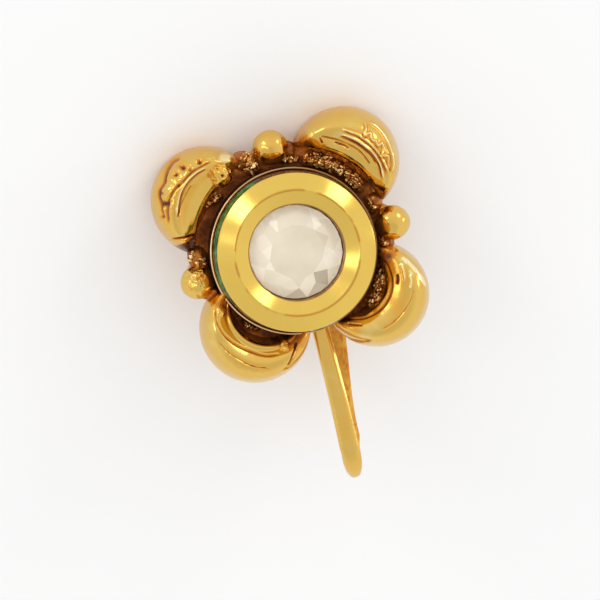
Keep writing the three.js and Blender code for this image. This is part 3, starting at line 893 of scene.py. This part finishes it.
def make_collar():
    """The turned ring with two bevels, worn along its crest, and lacquer on its side."""
    foot, side = PLATE_THICKNESS + SEAT_GAP, CUP_OUTER_RADIUS - CUP_WALL - SEAT_GAP
    rim, crest = side - COLLAR_TAPER, COLLAR_RIM_HEIGHT + RIDGE_RISE
    throat, ledge = crest - THROAT_DROP, THROAT_RADIUS - LEDGE_WIDTH
    outline = rounded_outline((
        (ledge, foot, 0), (side, foot, 0), (side, CUP_TOP, 0), (rim, COLLAR_RIM_HEIGHT, 0.03),
        (RIDGE_RADIUS, crest, 0.035), (THROAT_RADIUS, throat, 0.03), (THROAT_RADIUS, LEDGE_HEIGHT, 0),
        (ledge, LEDGE_HEIGHT, 0),
    ), 0.06)
    angles = spaced_angles(COLLAR_SIDES)
    degrees = np.degrees(angles)
    lacquered = np.maximum.reduce([
        between(degrees, 92, 112, 190, 215), 0.5 * between(degrees, 22, 36, 56, 70),
        0.6 * between(degrees, 262, 270, 285, 300), 0.5 * (1 - ease(np.minimum(degrees, 360 - degrees), 5, 12)),
    ])
    rings = circle(angles, outline[:, :1], outline[:, 1:])
    height = rings[..., 2]
    far = np.hypot(rings[..., 0], rings[..., 1])
    swell = between(height, 1.95, 2.3, 2.66, 2.88) * ease(far, rim - 0.03, rim - 0.01)
    thick = LACQUER_BULGE * lacquered * (0.8 + 0.4 * cloudy(rings, 0.5, 83))
    rings[..., :2] *= (1 + swell * thick / side)[..., None]
    far = np.hypot(rings[..., 0], rings[..., 1])
    picks = (far > rim - 0.015) & (height > 1.9) & (height < COLLAR_RIM_HEIGHT - 0.04)
    coat = lacquered * ease(height, 2.3, 2.45) * (1 - 0.8 * ease(height, 2.8, 2.87))
    shade = 0.15 + 0.5 * (1 - ease(height, 2.0, 2.3)) + 0.5 * bell(angles - math.radians(80), 0.35)
    worn = 0.55 * ease(height, crest - 0.03, crest - 0.014) * ease(cloudy(rings, 0.7, 87), -0.25, 0.05)
    lip = (1 - ease(far, THROAT_RADIUS + 0.02, THROAT_RADIUS + 0.05)) * ease(cloudy(rings, 0.35, 89), -0.9, -0.2)
    lip = lip * (0.8 + 0.2 * ease(height, throat - 0.06, throat - 0.02))
    tone = np.where((far > rim - 0.02) & (height < COLLAR_RIM_HEIGHT), shade, np.maximum(worn, lip))
    build(
        "collar_ring", rings, ring_faces(len(rings), COLLAR_SIDES, closed=True), [collar_gold, green_lacquer],
        {"tone": tone, "coat": coat}, node="collar", picks=picks.ravel(),
    )


make_collar()


# How much finer a granule's dents are along x, y and z than they would be all round
GRANULE_GRAIN = {"granule_top": (2.4, 0.9, 1.0), "granule_left": (2.0, 2.0, 1.0), "granule_right": (1.1, 1.5, 1.0)}


def make_granule(name, seed):
    """A slightly dented ball. The left one is crumpled on top."""
    row = GRANULES[name]
    turn = math.radians(row["angle"])
    out = np.array([math.cos(turn), math.sin(turn)])
    middle = np.append(GRANULE_CENTRE * row["centre"] * out, GRANULE_HEIGHT)
    ways = ball_ways(64, 96, 0.02)
    swell = -0.025 + 0.025 * field(ways, 0.7, seed)
    tone = np.zeros(ways.shape[:2])
    if name == "granule_left":
        spot = ease(ways @ np.array([-0.2, 0.35, 0.9]), 0.55, 0.95)
        crumple = cloudy(ways, 0.3, seed + 3)
        swell = swell - 0.16 * spot * np.abs(crumple)
        tone += 0.5 * spot * ease(-crumple, 0.1, 0.5)
    hammered = field(ways * GRANULE_GRAIN[name], 0.8, seed + 1)
    low = ease(-ways[..., 2], -0.1, 0.6)
    swell = swell - 0.07 * np.abs(hammered) * ease(ways[..., 2], 0.1, 0.5) + 0.03 * low * cloudy(ways, 0.25, seed + 5)
    # Painted shade: darker underneath and on the side turned to the flower's middle.
    tone += 0.5 * low + 0.35 * ease(-(ways[..., :2] @ out), 0.3, 0.9)
    rings = middle + ways * (GRANULE_RADIUS * row["radius"] * (1 + swell))[..., None]
    points, faces = capped(rings[::-1])
    marks = {"tone": np.r_[tone[::-1].ravel(), 0.5, 0], "sand": np.r_[low[::-1].ravel() * 0.6, 0.6, 0]}
    build(name, points, faces, [cast_gold], marks)


for granule_number, granule_name in enumerate(GRANULES):
    make_granule(granule_name, 90 + 7 * granule_number)

LEG_STEPS = 60
BEND_STEPS = 50
CLIP_SIDES = 96
CLIP_ROUNDING = 2 / 3.2
CLIP_CAPS = 8
BEVEL_START = 0.3
BEVEL_SLOPE = 1.2
BEVEL_RINGS = (34, 54)
BEND_ROUND = 0.28


def clip_line():
    """The clip's centre line as rows of x, y, z and width: front leg, bend and back leg."""
    front = CLIP_SINK - CLIP_THICKNESS / 2
    radius = (NOSTRIL_GAP + CLIP_THICKNESS) / 2
    bend = -(CLIP_REACH - CLIP_THICKNESS / 2 - radius)
    bowed = CLIP_OFFSET + CLIP_BOW
    share, bend_share = np.linspace(0, 1, LEG_STEPS), np.linspace(0, 1, BEND_STEPS)[1:-1]
    turn = math.pi * bend_share
    level = np.ones(LEG_STEPS)
    return np.vstack([
        np.c_[
            CLIP_OFFSET + CLIP_BOW * share**3, -CLIP_ROOT + (bend + CLIP_ROOT) * share, front * level,
            CLIP_WIDTH + (CLIP_BEND_WIDTH - CLIP_WIDTH) * share**1.5,
        ],
        np.c_[
            bowed + CLIP_TWIST * bend_share**3, bend - radius * np.sin(turn), front - radius * (1 - np.cos(turn)),
            CLIP_BEND_WIDTH + (CLIP_TURN_WIDTH - CLIP_BEND_WIDTH) * np.sin(turn) ** 2,
        ],
        np.c_[
            bowed + CLIP_TWIST + CLIP_SIDE_STEP * ease(share, 0, 0.85), bend - (CLIP_TIP + bend) * share,
            (front - 2 * radius) * level, CLIP_BEND_WIDTH + (CLIP_PAD_WIDTH - CLIP_BEND_WIDTH) * share,
        ],
    ])


def make_clip():
    """A flat strip bent like a hairpin, its front leg bevelled along one edge, its back leg sandy."""
    line = clip_line()
    around = spaced_angles(CLIP_SIDES)
    across, deep = (
        0.5 * np.sign(wave) * np.abs(wave) ** CLIP_ROUNDING for wave in (np.cos(around), np.sin(around))
    )
    bevel = np.maximum(-0.5 + (across - BEVEL_START) * BEVEL_SLOPE, deep)
    last = len(line) - 1
    rings, tones, sands = [], [], []

    def add(row, forward, grow, bevelled, bulge, tone, sand):
        side = unit(np.array([1.0, 0, 0]) - forward * forward[0])
        face = np.cross(side, forward)
        depth = (deep + (bevel - deep) * bevelled) * CLIP_THICKNESS * (0.5 + grow / 2)
        ring = row[:3] + np.outer(across * row[3] * grow, side) + np.outer(depth, face)
        ring[:, 1] += BEND_ROUND * bulge * np.abs(2 * across) ** 2.5
        rings.append(ring)
        tones.append(tone * np.ones(CLIP_SIDES))
        sands.append(np.full(CLIP_SIDES, sand))

    for i, row in enumerate(line):
        forward = unit(line[min(i + 1, last), :3] - line[max(i - 1, 0), :3])
        bevelled = float(1 - ease(i, *BEVEL_RINGS))
        bulge = math.sin(math.pi * min(max((i - 50) / 68, 0), 1)) ** 2
        # A thin line of painted shade on the face, beside the bevel.
        shade_line = bell(across - BEVEL_START + 0.03, 0.035) * (deep < 0) * bevelled
        sand = max(0.3 * float(ease(i, 38, 54)), float(ease(i, 85, 110)))
        add(row, forward, 1, bevelled, bulge, 0.02 + 0.3 * shade_line + 0.1 * (i > 105), sand)
    outward = unit(line[last, :3] - line[last - 1, :3])
    for turn in np.arange(1, CLIP_CAPS + 1) / (CLIP_CAPS + 0.5) * math.pi / 2:
        row = line[last] + np.append(outward * CLIP_TIP_LENGTH * math.sin(turn), 0)
        add(row, outward, math.cos(turn), 0, 0, 0.05, 1.0)
    rings, tones, sands = np.array(rings), np.array(tones), np.array(sands)
    wear = 0.008 * field(rings, 1.2, 121) - 0.008 - 0.012 * sands * np.clip(cloudy(rings, 0.12, 123), 0, 1)
    rings = rings - grid_normals(rings) * wear[..., None]
    tones += ease(sands, 0.3, 0.9) * (0.1 + 0.32 * np.clip(cloudy(rings, 0.1, 127), -0.2, 0.5))
    points, faces = capped(rings)
    marks = {"tone": np.r_[tones.ravel(), 0.05, 0.05], "sand": np.r_[sands.ravel(), 0, 1]}
    build("clip", points, [face[::-1] for face in faces], [clip_gold], marks)


make_clip()

FOIL_SIDES = 96


def make_foil():
    """A thin crumpled disc whose rim rises round the stone's back."""
    radius = THROAT_RADIUS - STONE_GAP
    rim_start = BACK_RADIUS / radius
    angles = spaced_angles(FOIL_SIDES)
    levels = [(share, 1) for share in np.linspace(0.02, 1.0, 28)] + [(1.0, 0.5)]
    levels += [(share, 0) for share in np.linspace(0.99, 0.02, 8)]
    rings = []
    for share, level in levels:
        rim = max(0.0, (share - rim_start) / (1 - rim_start))
        height = LEDGE_HEIGHT + FOIL_GAP + FOIL_THICKNESS * level + BACK_DEPTH * rim * (level > 0)
        ring = circle(angles, radius * share, height)
        ring[:, 2] -= (0.02 + 0.02 * cloudy(ring, 0.5, 131)) * (level == 1)
        rings.append(ring)
    points, faces = capped(rings)
    build("foil_disc", points, faces, [pale_foil], {}, node="foil")


make_foil()


# Painted reflections: single facets painted grey or white.
# Single facets that stand out: azimuth in the photograph, distance from the middle, and shade
ODD_FACETS = (
    (-38, 1.45, 0.1), (-90, 1.62, 0.28), (-50, 1.85, 0.3), (7, 1.75, 1.0), (25, 1.35, 0.36), (58, 1.8, 0.8),
    (-8, 1.4, 0.8), (-64, 1.5, 0.75),
)

# The crescent is a painted reflection: facets there are painted paler.
# Direction of the stone's bright crescent in the photograph, and its half width, in degrees
CRESCENT = (215, 34)


def make_stone():
    """The hand-cut stone: a table, star facets, kites, a girdle and a shallow back, none quite even."""
    draw = np.random.default_rng(12)
    count, double = STONE_FACETS, 2 * STONE_FACETS
    girdle_radius = THROAT_RADIUS - STONE_GAP
    under = LEDGE_HEIGHT + FOIL_THICKNESS + 2 * FOIL_GAP
    girdle = under + BACK_DEPTH
    crown = girdle + GIRDLE_THICKNESS
    table = crown + CROWN_RISE

    def ring(radius, height, turn, sides, loose, drop):
        angles = (np.arange(sides) + turn + draw.uniform(-loose, loose, sides)) * 2 * math.pi / sides
        far = radius * (1 - draw.uniform(0, drop, sides))
        return circle(angles, far, height - draw.uniform(0, drop, sides) * 0.3)

    rings = [
        ring(TABLE_RADIUS * 1.05, table, 0, count, 0.2, 0.12),
        ring((TABLE_RADIUS + girdle_radius) / 2, crown + CROWN_RISE * 0.62, 0.5, count, 0.16, 0.06),
        ring(girdle_radius, crown, 0, double, 0.12, 0.012),
        ring(girdle_radius, girdle, 0, double, 0.0, 0.01),
        ring(BACK_RADIUS, under, 0, double, 0.0, 0.0),
    ]
    rings[0][:, 2] = table
    points = np.vstack(rings + [[(0, 0, table), (0, 0, under)]])
    star, top, bottom, rear = count, double, 2 * double, 3 * double
    peak, base = len(points) - 2, len(points) - 1
    # Facets that share a shade: the table, then stars, kites, pairs at the girdle, and all below it
    faces, groups = [], []
    for i in range(count):
        after = (i + 1) % count
        here, middle, far = top + 2 * i, top + 2 * i + 1, top + 2 * after
        faces += [
            (peak, i, after), (i, star + i, after), (i, here, star + i), (star + i, here, middle),
            (star + i, middle, far), (star + i, far, after),
        ]
        groups += [0, 1 + i, 1 + count + i, 1 + double + i, 1 + double + i, 1 + count + after]
    for i in range(double):
        after = (i + 1) % double
        faces += [
            (top + i, bottom + i, bottom + after), (top + i, bottom + after, top + after),
            (bottom + i, rear + i, rear + after), (bottom + i, rear + after, bottom + after),
            (rear + i, base, rear + after),
        ]
    middles = points[np.array(faces)].mean(1)
    groups = np.array(groups + [1 + double + count] * (len(faces) - len(groups)))
    middles = np.array([middles[groups == group].mean(0) for group in range(groups.max() + 1)])
    across, upward = turned(middles[:, 0], middles[:, 1], SCREEN_TURN)
    azimuth = np.degrees(np.arctan2(upward, across))
    # Painted reflections: each facet group gets its own brightness, more uneven on the right and lower side, a little
    # paler at the far right, and paler again in the crescent.
    uneven = 0.03 + 0.09 * (np.cos(np.radians(azimuth + 30)) > -0.2)
    shade = 0.56 + draw.uniform(-1, 1, len(middles)) * uneven + 0.05 * (across > 0.8)
    off = (azimuth - CRESCENT[0] + 180) % 360 - 180
    lit = np.array([0] + [0.4] * count + [0.14] * count + [0.38] * count + [0])
    shade = shade + lit * bell((off / CRESCENT[1]) ** 2, 1)
    shade[0] = 0.43
    for direction, distance, value in ODD_FACETS:
        way = math.radians(direction)
        gap = np.hypot(across - distance * math.cos(way), upward - distance * math.sin(way))
        shade[gap[1:-1].argmin() + 1] = value
    build("stone_cut", points, faces, [clear_stone], {"shade": shade[groups]}, node="stone", smooth=False)


make_stone()


def make_floor():
    mesh = bpy.data.meshes.new("floor")
    mesh.from_pydata([(-2, -2, 0), (2, -2, 0), (2, 2, 0), (-2, 2, 0)], [], [(0, 1, 2, 3)])
    pale = {"Base Color": (0.985, 0.985, 0.985, 1), "Roughness": 0.9, "Specular IOR Level": 0.1}
    mesh.materials.append(Nodes(bpy.data.materials.new("pale_floor")).surface(pale))
    floor = bpy.data.objects.new("floor", mesh)
    bpy.context.scene.collection.objects.link(floor)


make_floor()

# The photograph's right and up on the flower, and how far the camera leans to them off the flower's face
FLOWER_RIGHT = math.cos(SCREEN_TURN) * FACE_X - math.sin(SCREEN_TURN) * FACE_Y
FLOWER_UP = math.sin(SCREEN_TURN) * FACE_X + math.cos(SCREEN_TURN) * FACE_Y
CAMERA_LEAN = (-0.11, 0.06)
CAMERA_BACK = unit(CAMERA_LEAN[0] * FLOWER_RIGHT + CAMERA_LEAN[1] * FLOWER_UP + FACE_Z)
CAMERA_RIGHT = unit(np.cross(FLOWER_UP, CAMERA_BACK))
CAMERA_UP = np.cross(CAMERA_BACK, CAMERA_RIGHT)

# What the camera looks at, from the flower's origin: right and up on the picture, and out of the face
CAMERA_AIM = (0.129, -2.039, 3.0)
FRAME_WIDTH = 25.75
CAMERA_DISTANCE = 450.0
SENSOR_WIDTH = 36


def soft_light(name, azimuth, tilt, distance, size, power):
    """A soft light seen from the flower at an azimuth in the photograph and a tilt off its face, in degrees."""
    a, t = math.radians(azimuth), math.radians(tilt)
    way = math.sin(t) * (math.cos(a) * FLOWER_RIGHT + math.sin(a) * FLOWER_UP) + math.cos(t) * FACE_Z
    light = bpy.data.lights.new(name, "AREA")
    light.shape = "RECTANGLE"
    light.size, light.size_y = size
    light.energy = power
    lamp = bpy.data.objects.new(name, light)
    lamp.location = Vector((ORIGIN + 2 * FACE_Z) * MM + way * distance)
    lamp.rotation_mode = "QUATERNION"
    lamp.rotation_quaternion = Vector(way).to_track_quat("Z", "Y")
    lamp.visible_camera = False
    bpy.context.scene.collection.objects.link(lamp)


soft_light("soft_left", 141, 55, 0.5, (0.13, 0.13), 0.2)
soft_light("soft_right", 45, 57, 0.5, (0.13, 0.15), 0.2)
soft_light("soft_side", 175, 42, 0.6, (0.09, 0.24), 0.13)
soft_light("soft_edge", 10, 79, 0.5, (0.06, 0.1), 0.1)

# How bright the room is from all round to its dimmest direction, which lies this far below the camera
ROOM_SHADES = ((0.0, 1.0), (0.55, 1.0), (0.88, 0.84), (1.0, 0.78))
DIM_ANGLE = math.radians(28)


def make_room():
    room = Nodes(bpy.data.worlds.new("pale_room"))
    dim_way = math.cos(DIM_ANGLE) * CAMERA_BACK - math.sin(DIM_ANGLE) * CAMERA_UP
    ways = {0: room.add("TexCoord", "Generated", {}), 1: tuple(dim_way)}
    toward = room.add("VectorMath", "Value", ways, operation="DOT_PRODUCT")
    shades = room.ramp(toward, [(position, (level,) * 3) for position, level in ROOM_SHADES])
    bpy.context.scene.world = room.surface({"Color": shades, "Strength": 1.0}, "Background")


def make_camera():
    data = bpy.data.cameras.new("camera")
    data.sensor_width = SENSOR_WIDTH
    data.lens = SENSOR_WIDTH * CAMERA_DISTANCE / FRAME_WIDTH
    data.clip_start, data.clip_end = 0.01, 20
    camera = bpy.data.objects.new("camera", data)
    target = ORIGIN + CAMERA_AIM[0] * CAMERA_RIGHT + CAMERA_AIM[1] * CAMERA_UP + CAMERA_AIM[2] * FACE_Z
    pose = Matrix(np.stack([CAMERA_RIGHT, CAMERA_UP, CAMERA_BACK], 1).tolist()).to_4x4()
    pose.translation = Vector((target + CAMERA_DISTANCE * CAMERA_BACK) * MM)
    camera.matrix_world = pose
    bpy.context.scene.collection.objects.link(camera)
    bpy.context.scene.camera = camera
    bpy.context.scene.view_settings.view_transform = "Standard"


make_room()
make_camera()
